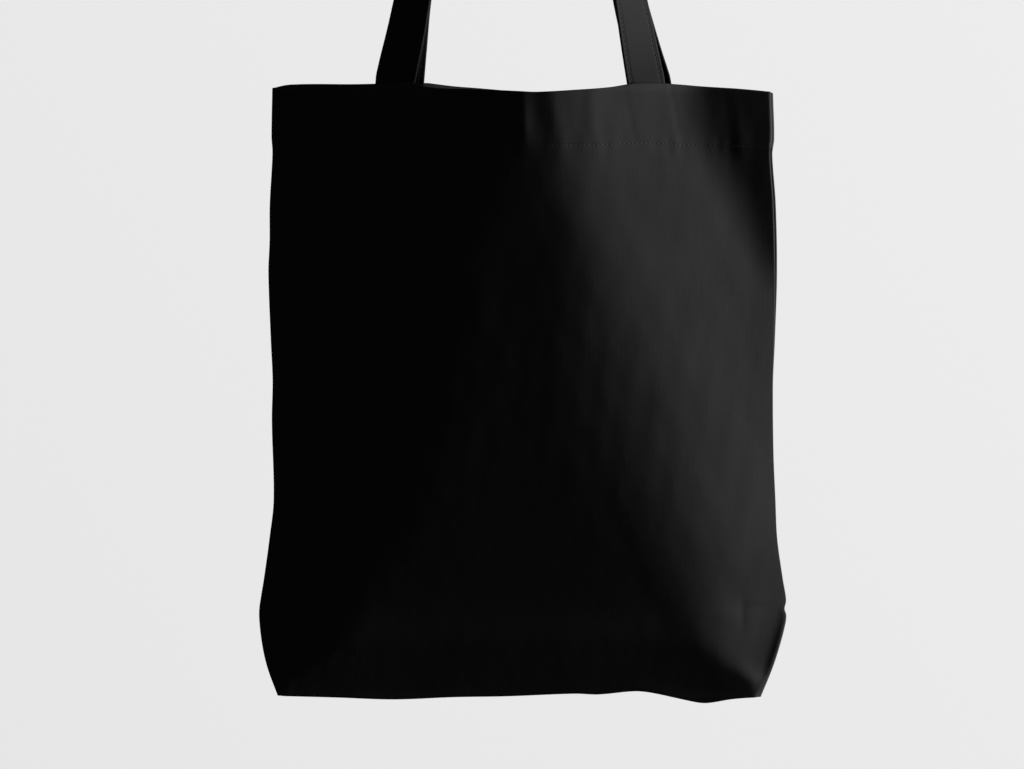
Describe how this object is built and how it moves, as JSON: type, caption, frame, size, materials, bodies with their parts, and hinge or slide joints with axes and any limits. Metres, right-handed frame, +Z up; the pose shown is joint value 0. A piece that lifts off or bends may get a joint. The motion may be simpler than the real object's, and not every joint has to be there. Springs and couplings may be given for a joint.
{
  "type": "tote bag",
  "caption": "Black cotton canvas tote bag with a pleated bottom gusset, a turned hem and long sewn strap handles, shown hanging by its handles.",
  "frame": {"origin": "the point the bag hangs from: the underside of the straps at the top of the handle loops, midway between the two handles", "axes": "+X to the right as seen from the front, +Y to the back (the front panel faces -Y), +Z up"},
  "size_m": [0.35, 0.0866, 0.6956],
  "materials": {
    "canvas": "matt black plain-weave cotton canvas",
    "thread": "matt black sewing thread"
  },
  "bodies": {
    "bag": {"front_panel": "canvas", "back_panel": "canvas", "bottom_gusset": "canvas", "front_hem": "canvas", "back_hem": "canvas", "left_side_seam": "canvas", "right_side_seam": "canvas", "front_left_handle_end": "canvas", "front_right_handle_end": "canvas", "back_left_handle_end": "canvas", "back_right_handle_end": "canvas", "front_hem_stitching": "thread", "back_hem_stitching": "thread", "left_seam_stitching": "thread", "right_seam_stitching": "thread", "front_left_handle_end_stitching": "thread", "front_right_handle_end_stitching": "thread", "back_left_handle_end_stitching": "thread", "back_right_handle_end_stitching": "thread"},
    "front_handle_strap": {"front_handle": "canvas", "front_handle_inner_stitching": "thread", "front_handle_outer_stitching": "thread"},
    "back_handle_strap": {"back_handle": "canvas", "back_handle_inner_stitching": "thread", "back_handle_outer_stitching": "thread"}
  },
  "joints": [
    {"name": "front_handle_fold", "type": "hinge", "parent": "bag", "child": "front_handle_strap", "pos_m": [0, -0.02894, -0.28638], "axis": [1, 0, 0], "range_deg": [0, 165]},
    {"name": "back_handle_fold", "type": "hinge", "parent": "bag", "child": "back_handle_strap", "pos_m": [0, 0.02894, -0.28638], "axis": [-1, 0, 0], "range_deg": [0, 165]}
  ]
}
